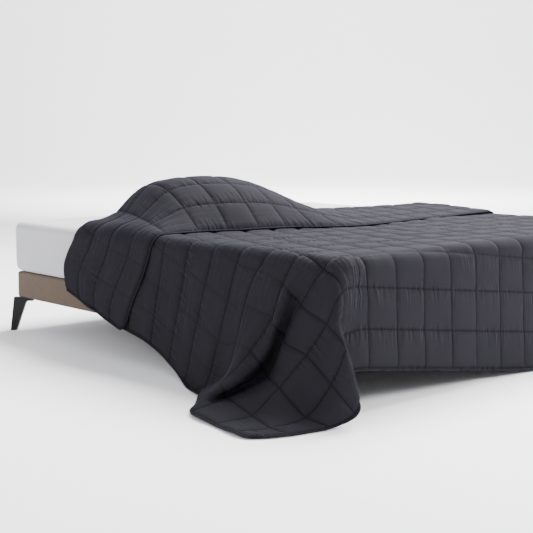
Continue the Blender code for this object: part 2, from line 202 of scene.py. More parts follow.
# Mesh lines in one square, closer where the cloth dips to a seam, and more beside the turn and in the
# falling corner's deep fold
SQUARE_LINES = (0.0, 0.0035, 0.010, 0.020, 0.034, 0.051, 0.070, 0.089, 0.106, 0.120, 0.130, 0.1365)
TURN_LINES = (-0.027, -0.015, 0.015, 0.027)
FOLD_LINES = (0.447, 0.4625, 0.4805, 0.4995, 0.5180, 0.533)

# The camera, from the bed's near head corner on the floor, and its lens on a 36 mm sensor
CAMERA_PLACE = (4.55496, -2.63306, 0.94415)
CAMERA_YAW, CAMERA_PITCH = 47.8039, 7.3027
CAMERA_LENS, CAMERA_SENSOR = 78.92, 36.0

# The studio: the floor's rings and the bend at its rim, the sky, and each light's name, place, aim,
# size and power in watts
FLOOR_RINGS = (0.5, 4.0, 8.0, 12.0)
FLOOR_BEND = 6.0
SKY_STRENGTH = 1.15
STAGE_MIDDLE = (0.0, 0.0, 0.3)
LIGHTS = (
    ("overhead_softbox", (-0.4, 2.4, 4.2), STAGE_MIDDLE, (3.2, 3.2), 1210.0),
    ("foot_softbox", (4.6, 2.6, 3.2), STAGE_MIDDLE, (2.6, 2.0), 500.0),
    ("background_softbox", (-4.5, 5.0, 4.5), (-10.0, 10.5, 2.0), (4.0, 3.0), 2600.0),
    ("near_softbox", (0.2, -5.0, 2.4), STAGE_MIDDLE, (3.4, 2.0), 85.0),
)


def linear(hex_colour):
    """The linear colour of an sRGB hex value, with full alpha."""
    values = [int(hex_colour[k : k + 2], 16) / 255 for k in (1, 3, 5)]
    return (*[v / 12.92 if v <= 0.04045 else ((v + 0.055) / 1.055) ** 2.4 for v in values], 1.0)


# ---- Settings


class BlanketSettings(bpy.types.PropertyGroup):
    fill: FloatProperty(
        name="Filling", description="Thickness at a square's middle", default=0.016, unit="LENGTH"
    )
    seam: FloatProperty(
        name="Seam", description="Thickness along a quilting seam", default=0.003, unit="LENGTH"
    )
    edge: FloatProperty(
        name="Hem", description="Thickness at the very edge", default=0.0045, unit="LENGTH"
    )
    colour: FloatVectorProperty(
        name="Cloth",
        description="Colour of the brushed cloth",
        subtype="COLOR",
        default=linear("#201f23")[:3],
    )
    stitch_pitch: FloatProperty(
        name="Stitch pitch",
        description="From one stitch to the next",
        default=STITCH_PITCH,
        unit="LENGTH",
    )
    stitch_length: FloatProperty(
        name="Stitch length",
        description="Length of a stitch that shows",
        default=STITCH_LENGTH,
        unit="LENGTH",
    )


class BedSettings(bpy.types.PropertyGroup):
    cuts: IntProperty(
        name="Cuts", description="Mesh lines along a side of the mattress and the base", default=60, min=8
    )
    mattress_colour: FloatVectorProperty(
        name="Mattress",
        description="Colour of its knitted cover",
        subtype="COLOR",
        default=linear("#b4b4b7")[:3],
    )
    base_colour: FloatVectorProperty(
        name="Base",
        description="Colour of its woven upholstery",
        subtype="COLOR",
        default=linear("#594c41")[:3],
    )
    leg_colour: FloatVectorProperty(
        name="Legs",
        description="Colour of the paint",
        subtype="COLOR",
        default=linear("#060607")[:3],
    )


# ---- Noise and shape rules


def smooth(low, high, value):
    """0 below low, 1 above high, and an even S between them."""
    x = np.clip((value - low) / (high - low), 0, 1)
    return x * x * (3 - 2 * x)


def bell(value, middle, width):
    """1 at the middle, falling on both sides to almost 0 two widths away."""
    return np.exp(-(((value - middle) / width) ** 2))


def spot(s, t, place):
    """1 at a place on the flat cloth, given as (s, t, reach along s, reach along t), 0 well away."""
    middle_s, middle_t, reach_s, reach_t = place
    return np.exp(-(((s - middle_s) / reach_s) ** 2) - ((t - middle_t) / reach_t) ** 2)


def noise(x, y, seed):
    """Soft noise from -1 to 1 that changes about once a unit."""
    table = np.random.default_rng(seed).uniform(-1, 1, (64, 64))
    column, row = np.floor(x).astype(int), np.floor(y).astype(int)
    fx, fy = x - column, y - row
    fx, fy = fx * fx * (3 - 2 * fx), fy * fy * (3 - 2 * fy)
    left, right = column % 64, (column + 1) % 64
    low = table[row % 64, left] * (1 - fx) + table[row % 64, right] * fx
    high = table[(row + 1) % 64, left] * (1 - fx) + table[(row + 1) % 64, right] * fx
    return low * (1 - fy) + high * fy


def fold_line(t):
    """(where the turn ends along the bed, its height, the share of its length that the flap keeps,
    its drift) at each t, read from the table and rounded off."""
    columns = np.array(FOLD_LINE).T
    near_by = [t + FOLD_EASE * k / 3 for k in range(-3, 4)]
    means = []
    for column in columns[1:]:
        means.append(np.mean([np.interp(at, columns[0], column) for at in near_by], axis=0))
    return means


def lie(s, t):
    """Where a point would lie if the bed's top had no edges: (x, y, its height over the lower layer)."""
    turn_x, height, kept, drift = fold_line(t)
    radius = height / 2
    start = TURN - math.pi * radius / 2
    end = TURN + math.pi * radius / 2
    across = t - NEAR_DROP
    beside = np.minimum(across, 0)
    beyond = np.clip(across, 0, ROWS_EVEN) + ROWS_FAR * np.clip(across - ROWS_EVEN, 0, None)

    def row_x(distance):
        fan = ROW_FAN * distance
        fade = 1 - smooth(LEVEL_FADE_FROM, LEVEL_FADE_TO, distance)
        level = ROW_LEVEL * smooth(0, LEVEL_FULL, distance) * fade
        slanted = (ROW_SLANT + fan - level) * beyond + (ROW_SLANT_NEAR + fan) * beside
        return BED_LENGTH + FOOT_DROP - LENGTH_KEPT * distance + slanted

    below = np.minimum(s, start)
    x = row_x(below) + (turn_x - row_x(start)) * smooth(GATHER_FROM, 1.0, below / start)
    far_share = smooth(EDGE_SLANT_FROM, EDGE_SLANT_TO, t)
    slant = EDGE_SLANT_NEAR + (EDGE_SLANT_FAR - EDGE_SLANT_NEAR) * far_share
    rise = HEM_TAKE_UP * (1 - smooth(0, TAKE_UP_T, t)) * (1 - smooth(TAKE_UP_FROM, TAKE_UP_TO, s))
    shift = FOOT_SHIFT * smooth(SHIFT_FROM, BED_LENGTH, x)
    y = across + slant * np.maximum(BED_LENGTH - x, 0) + rise + shift

    # The turn, then the flap: it comes down to the lower layer in a quarter cosine.
    angle = np.clip((s - start) / radius, 0, math.pi)
    reach = LONG - end
    run = np.clip(s - end, 0, None)
    phase = math.pi / 2 * run / reach
    fall = height - HEM_GAP
    steep = (fall * math.pi / 2 / reach) ** 2
    forward = kept * (run - steep / 4 * (run - reach / math.pi * np.sin(2 * phase)))
    over = radius * (1 - np.cos(angle)) - fall * (1 - np.cos(phase))
    return x - radius * np.sin(angle) + forward, y - drift * forward, over


def hang(past, over, lean):
    """Cloth past the start of an edge's bend: (outward, downward), its outside lifted by over."""
    bend = MATTRESS_ROUND + MID_OVER_BED
    most = math.pi / 2 - lean
    angle = np.clip(past / bend, 0, most)
    below = np.clip(past - most * bend, 0, None)
    outward = bend * np.sin(angle) + np.minimum(past, 0)
    downward = bend * (1 - np.cos(angle))
    height = BED_TOP + MID_OVER_BED - FLOOR_MID
    full = (height - bend * (1 - np.cos(most)) - FLOOR_ROUND * (1 - np.sin(lean))) / np.cos(lean)
    turned = np.clip((below - full) / FLOOR_ROUND, 0, most)
    level = np.clip(below - full - turned * FLOOR_ROUND, 0, None)
    straight = np.minimum(below, full)
    outward = outward + straight * np.sin(lean) + level
    outward = outward + FLOOR_ROUND * (np.cos(lean) - np.cos(lean + turned))
    downward = downward + straight * np.cos(lean)
    downward = downward + FLOOR_ROUND * (np.sin(lean + turned) - np.sin(lean))
    side = np.where(turned > 0, most - turned, angle)
    return outward + over * np.sin(side), downward - over * np.cos(side)


def over_the_bed(s, t):
    """The middle surface, bent over one edge at a time."""
    x, y, over = lie(s, t)
    top = BED_TOP + MID_OVER_BED
    near_lean = NEAR_LEAN + (NEAR_LEAN_FOOT - NEAR_LEAN) * smooth(NEAR_LEAN_FROM, NEAR_LEAN_TO, x)
    bend_in = MATTRESS_ROUND - OVERHANG
    near_out, near_down = hang(bend_in - y, over, np.radians(near_lean))
    far_start = BED_WIDTH - bend_in
    far_out, far_down = hang(y - far_start, over, math.radians(FAR_LEAN))
    foot_start = BED_LENGTH - bend_in
    foot_out, foot_down = hang(x - foot_start, over, math.radians(FOOT_LEAN))
    near = y < BED_WIDTH / 2
    side = np.where(near, bend_in - near_out, far_start + far_out)
    points = np.stack([x, side, top - np.where(near, near_down, far_down)], axis=-1)
    on_foot = np.stack([foot_start + foot_out, y, top - foot_down], axis=-1)
    return np.where((x > foot_start)[..., None], on_foot, points)


def crossings():
    """Every place where two seams cross, the falling corner's from its table."""
    s, t = np.meshgrid(CELL * np.arange(CELLS_LONG + 1), CELL * np.arange(CELLS_WIDE + 1), indexing="ij")
    points = over_the_bed(s, t)
    corner = np.array(CORNER_SEAMS) / 100
    points[: corner.shape[0], : corner.shape[1]] = corner
    return points


def cubic_weights(f):
    """The weights of four crossings in a row, for a point f of the way from the second to the third."""
    weights = [
        f * (-1 + f * (2 - f)),
        2 + f * f * (3 * f - 5),
        f * (1 + f * (4 - 3 * f)),
        f * f * (f - 1),
    ]
    return np.stack(weights, axis=-1) / 2


def through_crossings(s, t):
    """A smooth surface through the crossings."""
    points = crossings()
    points = np.concatenate([2 * points[:1] - points[1:2], points, 2 * points[-1:] - points[-2:-1]])
    points = np.concatenate(
        [2 * points[:, :1] - points[:, 1:2], points, 2 * points[:, -1:] - points[:, -2:-1]], axis=1
    )
    row = np.clip((s / CELL + 1e-9).astype(int), 0, CELLS_LONG - 1)
    column = np.clip((t / CELL + 1e-9).astype(int), 0, CELLS_WIDE - 1)
    by_row = cubic_weights(s / CELL - row)
    by_column = cubic_weights(t / CELL - column)
    total = np.zeros((*s.shape, 3))
    for i in range(4):
        for j in range(4):
            weight = (by_row[..., i] * by_column[..., j])[..., None]
            total += weight * points[row + i, column + j]
    return total


def round_corners(s, t):
    """Flat positions with the blanket's four corners rounded off."""
    u = np.clip(1 - np.minimum(s, LONG - s) / CORNER_ROUND, 0, 1)
    v = np.clip(1 - np.minimum(t, WIDE - t) / CORNER_ROUND, 0, 1)
    inward_s = CORNER_ROUND * u * (1 - np.sqrt(1 - v * v / 2))
    inward_t = CORNER_ROUND * v * (1 - np.sqrt(1 - u * u / 2))
    s = s + np.where(s < LONG / 2, inward_s, -inward_s)
    t = t + np.where(t < WIDE / 2, inward_t, -inward_t)
    return s, t


def middle_surface(s, t):
    """The middle of the cloth as it lies, with the corners blended in."""
    s, t = round_corners(s, t)
    near = 1 - smooth(CORNER_BLEND_FROM, CORNER_BLEND_TO, np.maximum(s, t))
    far = (1 - smooth(CORNER_BLEND_FROM, FAR_CORNER_S, s)) * smooth(WIDE - FAR_CORNER_T, WIDE - CELL, t)
    share = np.maximum(near, far)[..., None]
    return share * through_crossings(s, t) + (1 - share) * over_the_bed(s, t)


def off_the_bed(points):
    """(distance from the bed as a rounded block that reaches the floor, the way out)."""
    centre = np.array([BED_LENGTH / 2, BED_WIDTH / 2, 0.0])
    half = np.array([BED_LENGTH / 2 + OVERHANG, BED_WIDTH / 2 + OVERHANG, BED_TOP]) - MATTRESS_ROUND
    from_centre = points - centre
    past = np.abs(from_centre) - half
    past[..., 2] = from_centre[..., 2] - half[2]
    side = np.sign(from_centre)
    side[..., 2] = 1.0
    outside = np.maximum(past, 0)
    length = np.linalg.norm(outside, axis=-1)
    inner = past.max(axis=-1)
    nearest = np.arange(3) == past.argmax(axis=-1)[..., None]
    way = np.where((length > 0)[..., None], outside / np.maximum(length, 1e-9)[..., None], nearest)
    return np.where(length > 0, length, inner) - MATTRESS_ROUND, way * side


def grid_normals(points):
    normal = np.cross(np.gradient(points, axis=1), np.gradient(points, axis=0))
    return normal / np.maximum(np.linalg.norm(normal, axis=-1, keepdims=True), 1e-12)


# ---- The blanket


def square_lines(count, more=()):
    lines = [CELL * k + line for k in range(count) for line in SQUARE_LINES]
    return np.sort(np.array(lines + [CELL * count] + list(more)))


def to_seam(distance):
    """Distance to the nearest quilting seam, along one direction."""
    return np.abs(distance - CELL * np.round(distance / CELL))


def from_hem(s, t):
    """Distance to the nearest edge of the flat cloth."""
    return np.minimum(np.minimum(s, LONG - s), np.minimum(t, WIDE - t))


def pulled_flat(s, t):
    """1 where the cloth's weight pulls flat the seams that run along the near side, 0 elsewhere."""
    _, y, _ = lie(s, t)
    return (1 - smooth(-PULLED_Y, PULLED_Y, y)) * smooth(PULLED_FROM, PULLED_TO, s)


def filling(s, t, settings):
    """Thickness: a soft pillow in each square, a narrow dip along each seam and a flat stitched hem."""
    rise = [1 - (1 - np.clip(to_seam(d) / (CELL / 2), 0, 1)) ** PILLOW_RISE for d in (s, t)]
    rise[1] = rise[1] + (1 - rise[1]) * PULLED_SHARE * pulled_flat(s, t)
    row, column = np.floor(s / CELL), np.floor(t / CELL)
    uneven = LEAST_FILL + FILL_SPREAD * noise(row * 3.7, column * 5.3, 11)
    thick = settings.seam + (settings.fill * uneven - settings.seam) * rise[0] * rise[1]
    edge = from_hem(s, t)
    flange = settings.edge * (1 - HEM_STITCH_DEPTH * bell(edge, HEM_STITCH, HEM_STITCH_WIDTH))
    return np.where(edge < HEM_FLAT, flange, thick)


def softness(s, t):
    """Unevenness of the middle surface along its normal, in metres."""
    x, y, _ = lie(s, t)
    on_top = smooth(0.0, 0.08, y) * (1 - smooth(BED_LENGTH - 0.08, BED_LENGTH, x))
    swell = SWELL * (noise(s / SWELL_LONG, t / SWELL_WIDE, 1) + SWELL_RAISED) * on_top
    beside = 1 - smooth(-0.02, 0.06, y)
    pleats = PLEAT * noise(s / PLEAT_LONG, t / PLEAT_WIDE, 2) * beside
    beyond = smooth(BED_LENGTH, BED_LENGTH + 0.10, x) * (1 - beside)
    waves = WAVE * noise(t / WAVE_WIDE, s / WAVE_LONG, 3) * beyond
    rumple = RUMPLE * noise(s / RUMPLE_LONG, t / RUMPLE_WIDE, 4)
    along_fold = smooth(FOLD_FROM, FOLD_FULL, t) * (1 - smooth(FOLD_FADES, FOLD_TO, t))
    fold = bell(s, RIDGE_S, RIDGE_WIDTH) - bell(s, HOLLOW_S, HOLLOW_WIDTH)
    return swell + pleats + waves + rumple + FOLD_HEIGHT * fold * along_fold


def creasing(s, t):
    """How creased the cloth is: most where it bends over the near side and the near foot corner."""
    _, y, _ = lie(s, t)
    beside = 1 - smooth(-0.02, 0.08, y)
    bend = bell(y, NEAR_BEND_Y, NEAR_BEND_WIDTH)
    corner = spot(s, t, CORNER_CREASES) * beside
    creased = CREASED_LEAST + CREASED_BENDS * np.maximum(bend, corner)
    creased = creased + CREASED_BY_FOLD * spot(s, t, CREASES_BY_FOLD)
    return creased + CREASED_FLAP * flap_creases(s, t)


def flap_creases(s, t):
    """1 where the flap is creased lengthwise, between the near side and the hump."""
    return smooth(TURN, TURN + 0.05, s) * smooth(0.05, 0.30, t) * (1 - smooth(0.50, 0.66, t))


def gathering(s, t):
    """How far the cloth gathers at its cross seams: most below a seam, in patches, least over the edge."""
    x, _, _ = lie(s, t)
    share = (s / CELL) % 1
    near = np.maximum(smooth(GATHER_BELOW, 1.0, share), 1 - smooth(0.0, GATHER_ABOVE, share))
    patchy = GATHER_PATCH + GATHER_PATCH * noise(s / PATCH_LONG, t / PATCH_WIDE, 5)
    off_edge = 1 - GATHER_LESS_AT_EDGE * bell(x, BED_LENGTH, GATHER_EDGE_WIDTH)
    off_flap = 1 - GATHER_LESS_IN_FLAP * flap_creases(s, t)
    return near * patchy * off_edge * off_flap + GATHER_AT_CORNER * spot(s, t, CORNER_GATHERS)


def dips(s, t):
    """1 in the dip of a quilting seam or of the hem's stitches, falling to 0 a few millimetres away."""
    across_side = bell(to_seam(s), 0.0, SEAM_DIP)
    along_side = bell(to_seam(t), 0.0, SEAM_DIP)
    along_side = along_side * (1 - PULLED_SHARE * pulled_flat(s, t))
    x, _, _ = lie(s, t)
    over_edge = bell(x, BED_LENGTH, DIP_EDGE_WIDTH)
    across_side = across_side * (1 - PULLED_SHARE * over_edge * smooth(0.70, 0.84, t))
    edge = from_hem(s, t)
    hem = bell(edge, HEM_STITCH, SEAM_DIP)
    return np.where(edge < HEM_SHADED, hem, np.maximum(across_side, along_side))


def lift_clear(points, half):
    """Moves the middle surface out where its underside would enter the bed or the floor."""
    for _ in range(LIFT_ROUNDS):
        normals = grid_normals(points)
        for side in (-1, 1):
            distance, way = off_the_bed(points + side * normals * half[..., None])
            points = points + np.clip(CLEAR - distance, 0, None)[..., None] * way
        points[..., 2] = np.maximum(points[..., 2], half + FLOOR_CLEAR)
    return points


def sheet_mesh(name, face, back):
    """A closed mesh with face and back as its two sides, and a rim round them."""
    rows, columns = face.shape[:2]
    count = rows * columns
    index = np.arange(count).reshape(rows, columns)
    low, high = index[:-1, :-1], index[1:, 1:]
    right, up = index[:-1, 1:], index[1:, :-1]
    top = np.stack([low, right, high, up], axis=-1).reshape(-1, 4)
    ring = np.concatenate([index[0, :-1], index[:-1, -1], index[-1, :0:-1], index[:0:-1, 0]])
    ahead = np.roll(ring, -1)
    rim = np.stack([ring, ring + count, ahead + count, ahead], axis=-1)
    quads = np.concatenate([top, top[:, ::-1] + count, rim])
    mesh = bpy.data.meshes.new(name)
    mesh.from_pydata(np.concatenate([face.reshape(-1, 3), back.reshape(-1, 3)]), [], quads.tolist())
    mesh.update()
    return mesh


def piece(name, mesh, material):
    """Makes an object of a mesh, in one material, that rides on the one body."""
    obj = bpy.data.objects.new(name, mesh)
    bpy.context.scene.collection.objects.link(obj)
    mesh.materials.clear()
    mesh.materials.append(material)
    mesh.shade_smooth()
    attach(obj, "root")
    return obj


def blanket_sides(settings):
    """(s lines, t lines, outer side, inner side) of the whole blanket, in the frame's metres."""
    across = square_lines(CELLS_LONG, (*(TURN + line for line in TURN_LINES), *FOLD_LINES))
    along = square_lines(CELLS_WIDE)
    s, t = np.meshgrid(across, along, indexing="ij")
    half = filling(s, t, settings) / 2
    points = middle_surface(s, t)
    points = points + grid_normals(points) * softness(s, t)[..., None]
    points = lift_clear(points, half)
    offset = grid_normals(points) * half[..., None]
    place = np.array([BASE_LOW.x, BASE_LOW.y, 0.0])
    face, back = points + offset + place, points - offset + place
    for side in (face, back):
        side[..., 2] = np.maximum(side[..., 2], FACE_CLEAR)
    return across, along, face, back


class MakeBlanket(bpy.types.Operator):
    """Make the quilted blanket as it lies"""

    bl_idname = "bedding.make_blanket"
    bl_label = "Quilted blanket"

    def execute(self, context):
        settings = context.scene.bedding_blanket
        across, along, face, back = blanket_sides(settings)
        mesh = sheet_mesh("quilted_blanket", face, back)
        s, t = np.meshgrid(across, along, indexing="ij")
        flat = np.tile(np.stack([t, s], axis=-1).reshape(-1, 2), (2, 1))
        corners = np.empty(len(mesh.loops), int)
        mesh.loops.foreach_get("vertex_index", corners)
        cloth = mesh.uv_layers.new(name="cloth")
        cloth.data.foreach_set("uv", flat[corners].reshape(-1))
        looks = {"crease": creasing(s, t), "gather": gathering(s, t), "dip": dips(s, t)}
        for name, values in looks.items():
            attribute = mesh.attributes.new(name, "FLOAT", "POINT")
            attribute.data.foreach_set("value", np.tile(values.reshape(-1), 2))
        blanket = piece("quilted_blanket", mesh, brushed_cloth(settings))
        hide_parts("blanket")
        return {"FINISHED"}


# ---- The bed


def rounded_block(name, low, high, rounding, cuts, shape=None):
    """A block from low to high with rounded edges. shape may move its points, given as an array."""
    low, high = np.array(low), np.array(high)
    centre, half = (low + high) / 2, (high - low) / 2
    bm = bmesh.new()
    bmesh.ops.create_cube(bm, size=2.0)
    bmesh.ops.subdivide_edges(bm, edges=bm.edges, cuts=cuts, use_grid_fill=True)
    mesh = bpy.data.meshes.new(name)
    bm.to_mesh(mesh)
    bm.free()
    unit = np.empty(len(mesh.vertices) * 3)
    mesh.vertices.foreach_get("co", unit)
    unit = unit.reshape(-1, 3)
    # Lines gather towards the edges, where the shape turns.
    place = np.sign(unit) * (1 - (1 - np.abs(unit)) ** EDGE_CROWDING) * half
    core = np.clip(place, rounding - half, half - rounding)
    away = place - core
    way = away / np.linalg.norm(away, axis=-1, keepdims=True)
    points = centre + core + way * rounding
    if shape:
        points = shape(points, way)
    mesh.vertices.foreach_set("co", points.reshape(-1))
    mesh.update()
    return mesh


def mattress_shape(points, way):
    """Foam under a knitted cover: a seam dips round its sides and the cover is a little uneven."""
    side = 1 - np.abs(way[:, 2])
    seam = bell(points[:, 2] - BED_LOW.z, COVER_SEAM_HEIGHT, COVER_SEAM_WIDTH)
    run = points[:, 0] + points[:, 1]
    uneven = COVER_UNEVEN * (noise(run / COVER_LONG, points[:, 2] / COVER_HIGH, 21) + 1) * side
    return points - way * (COVER_SEAM_DEPTH * seam * side + uneven)[:, None]


def base_shape(points, way):
    """Board under padded cloth: a seam dips at each upright corner."""
    side = 1 - np.abs(way[:, 2])
    across = np.minimum(points[:, 0] - BASE_LOW.x, BASE_HIGH.x - points[:, 0])
    along = np.minimum(points[:, 1] - BASE_LOW.y, BASE_HIGH.y - points[:, 1])
    from_corner = np.abs(across - along) / math.sqrt(2)
    at_corner = np.maximum(across, along) < CORNER_SEAM_REACH
    seam = bell(from_corner, 0.0, CORNER_SEAM_WIDTH) * at_corner
    run = points[:, 0] + points[:, 1]
    uneven = PADDING_UNEVEN * (noise(run / PADDING_LONG, points[:, 2] / PADDING_HIGH, 22) + 1)
    return points - way * ((CORNER_SEAM_DEPTH * seam + uneven) * side)[:, None]


class MakeMattress(bpy.types.Operator):
    """Make the mattress with its knitted cover"""

    bl_idname = "bedding.make_mattress"
    bl_label = "Mattress"

    def execute(self, context):
        settings = context.scene.bedding_bed
        mesh = rounded_block(
            "sprung_mattress", BED_LOW, BED_HIGH, MATTRESS_ROUND, settings.cuts, mattress_shape
        )
        mattress = piece("sprung_mattress", mesh, knitted_cover(settings))
        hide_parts("mattress")
        return {"FINISHED"}


class MakeBase(bpy.types.Operator):
    """Make the bed's upholstered base"""

    bl_idname = "bedding.make_base"
    bl_label = "Upholstered base"

    def execute(self, context):
        settings = context.scene.bedding_bed
        mesh = rounded_block(
            "upholstered_base", BASE_LOW, BASE_HIGH, BASE_ROUND, settings.cuts, base_shape
        )
        base = piece("upholstered_base", mesh, woven_upholstery(settings))
        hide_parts("bed_base")
        return {"FINISHED"}


class FinishLegs(bpy.types.Operator):
    """Give the bed's legs their paint"""

    bl_idname = "bedding.finish_legs"
    bl_label = "Painted legs"

    def execute(self, context):
        paint = powder_coat(context.scene.bedding_bed)
        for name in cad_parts:
            if name.startswith("leg_"):
                bpy.data.objects[name].material_slots[0].material = paint
        return {"FINISHED"}


# ---- Stitches


def seam_paths(name, across, along, face, back):
    """Every quilting seam and the stitched hem as lines of edges, on the side of the cloth that shows."""
    points, edges = [], []

    def add_line(line):
        first = len(points)
        points.extend(line.tolist())
        edges.extend((first + k, first + k + 1) for k in range(len(line) - 1))

    rows = [int(np.argmin(np.abs(across - CELL * k))) for k in range(1, CELLS_LONG)]
    columns = [int(np.argmin(np.abs(along - CELL * k))) for k in range(1, CELLS_WIDE)]
    hem_rows = [int(np.argmin(np.abs(across - d))) for d in (HEM_STITCH, LONG - HEM_STITCH)]
    hem_columns = [int(np.argmin(np.abs(along - d))) for d in (HEM_STITCH, WIDE - HEM_STITCH)]
    turn = int(np.argmin(np.abs(across - TURN)))
    for row in rows + hem_rows:
        add_line(face[row] if row < turn else back[row])
    for column in columns + hem_columns:
        add_line(face[: turn + 1, column])
        add_line(back[turn:, column])
    mesh = bpy.data.meshes.new(name)
    mesh.from_pydata(points, edges, [])
    return mesh


def stitch_tree(thread):
    """A node tree that lays a stitch at every pitch along a line of edges."""
    tree = bpy.data.node_groups.new("Stitches along seams", "GeometryNodeTree")
    tree.interface.new_socket("Seams", in_out="INPUT", socket_type="NodeSocketGeometry")
    sizes = {"Pitch": STITCH_PITCH, "Length": STITCH_LENGTH, "Thickness": STITCH_THICKNESS}
    for label, value in sizes.items():
        socket = tree.interface.new_socket(label, in_out="INPUT", socket_type="NodeSocketFloat")
        socket.default_value = value
        sizes[label] = socket.identifier
    tree.interface.new_socket("Stitches", in_out="OUTPUT", socket_type="NodeSocketGeometry")
    given = add(tree, "NodeGroupInput")
    curve = add(tree, "GeometryNodeMeshToCurve", {"Mesh": given.outputs["Seams"]})
    spaced = add(
        tree,
        "GeometryNodeResampleCurve",
        {"Curve": curve.outputs[0], "Length": given.outputs["Pitch"]},
        mode="LENGTH",
    )
    tangent = add(tree, "GeometryNodeInputTangent")
    turned = add(tree, "FunctionNodeAlignRotationToVector", {"Vector": tangent.outputs[0]}, axis="Z")
    bead = add(tree, "GeometryNodeMeshIcoSphere", {"Radius": 0.5, "Subdivisions": 1})
    size = add(
        tree,
        "ShaderNodeCombineXYZ",
        {
            "X": given.outputs["Thickness"],
            "Y": given.outputs["Thickness"],
            "Z": given.outputs["Length"],
        },
    )
    laid = add(
        tree,
        "GeometryNodeInstanceOnPoints",
        {
            "Points": spaced.outputs[0],
            "Instance": bead.outputs["Mesh"],
            "Rotation": turned.outputs[0],
            "Scale": size.outputs[0],
        },
    )
    real = add(tree, "GeometryNodeRealizeInstances", {"Geometry": laid.outputs[0]})
    looked = add(tree, "GeometryNodeSetMaterial", {"Geometry": real.outputs[0], "Material": thread})
    add(tree, "NodeGroupOutput", {"Stitches": looked.outputs[0]})
    return tree, sizes


class StitchBlanket(bpy.types.Operator):
    """Stitch the blanket's quilting seams and its hem"""

    bl_idname = "bedding.stitch_blanket"
    bl_label = "Quilting stitches"

    def execute(self, context):
        settings = context.scene.bedding_blanket
        across, along, face, back = blanket_sides(settings)
        thread = spun_thread(settings)
        lines = seam_paths("seam_paths", across, along, face, back)
        paths = bpy.data.objects.new("seam_paths", lines)
        bpy.context.scene.collection.objects.link(paths)
        tree, sizes = stitch_tree(thread)
        modifier = paths.modifiers.new("Stitches", "NODES")
        modifier.node_group = tree
        modifier[sizes["Pitch"]] = settings.stitch_pitch
        modifier[sizes["Length"]] = settings.stitch_length
        graph = bpy.context.evaluated_depsgraph_get()
        mesh = bpy.data.meshes.new_from_object(paths.evaluated_get(graph))
        bpy.data.objects.remove(paths, do_unlink=True)
        if not mesh.polygons:
            raise RuntimeError("the seams gave no stitches")
        mesh.name = "quilting_stitches"
        piece("quilting_stitches", mesh, thread)
        return {"FINISHED"}


# ---- Materials


def add(tree, kind, inputs=None, **settings):
    """Adds a node with its own settings, and sets or links its inputs, by name or number."""
    node = tree.nodes.new(kind)
    for key, value in settings.items():
        setattr(node, key, value)
    for key, value in (inputs or {}).items():
        if isinstance(value, bpy.types.NodeSocket):
            tree.links.new(value, node.inputs[key])
        else:
            node.inputs[key].default_value = value
    return node


def new_material(name):
    """(a new material's node tree, its shader, the material)."""
    material = bpy.data.materials.new(name)
    material.use_nodes = True
    shader = material.node_tree.nodes["Principled BSDF"]
    return material.node_tree, shader, material


def set_inputs(shader, values):
    """Sets a shader's inputs, given as {name: value}."""
    for name, value in values.items():
        shader.inputs[name].default_value = value


def base_colour(shader):
    """The socket that the base colour comes from."""
    return shader.inputs["Base Color"].links[0].from_socket


def two_tones(tree, shader, factor, dark, light):
    """Lets the base colour wander between two tones."""
    mixed = add(tree, "ShaderNodeMix", {"Factor": factor, "A": dark, "B": light}, data_type="RGBA")
    tree.links.new(mixed.outputs["Result"], shader.inputs["Base Color"])


def shade(colour, factor):
    """A colour made darker or lighter by a factor."""
    return (*[min(1.0, c * factor) for c in colour], 1.0)


def scaled_noise(tree, vector, scale, detail=2.0, distortion=0.0):
    """Noise from -0.5 to 0.5 that changes scale times a metre along each direction."""
    placed = add(tree, "ShaderNodeMapping", {"Vector": vector, "Scale": scale})
    pattern = add(
        tree,
        "ShaderNodeTexNoise",
        {"Vector": placed.outputs[0], "Scale": 1.0, "Detail": detail, "Distortion": distortion},
    )
    return add(tree, "ShaderNodeMath", {0: pattern.outputs[0], 1: 0.5}, operation="SUBTRACT").outputs[0]


def times(tree, *factors):
    """The product of sockets and numbers."""
    product = factors[0]
    for factor in factors[1:]:
        product = add(tree, "ShaderNodeMath", {0: product, 1: factor}, operation="MULTIPLY").outputs[0]
    return product


def plus(tree, *terms):
    """The sum of sockets and numbers."""
    total = terms[0]
    for term in terms[1:]:
        total = add(tree, "ShaderNodeMath", {0: total, 1: term}, operation="ADD").outputs[0]
    return total


def bump(tree, shader, height):
    """Bumps a surface by a height in metres."""
    bumped = add(tree, "ShaderNodeBump", {"Height": height, "Strength": 1.0, "Distance": 1.0})
    tree.links.new(bumped.outputs[0], shader.inputs["Normal"])


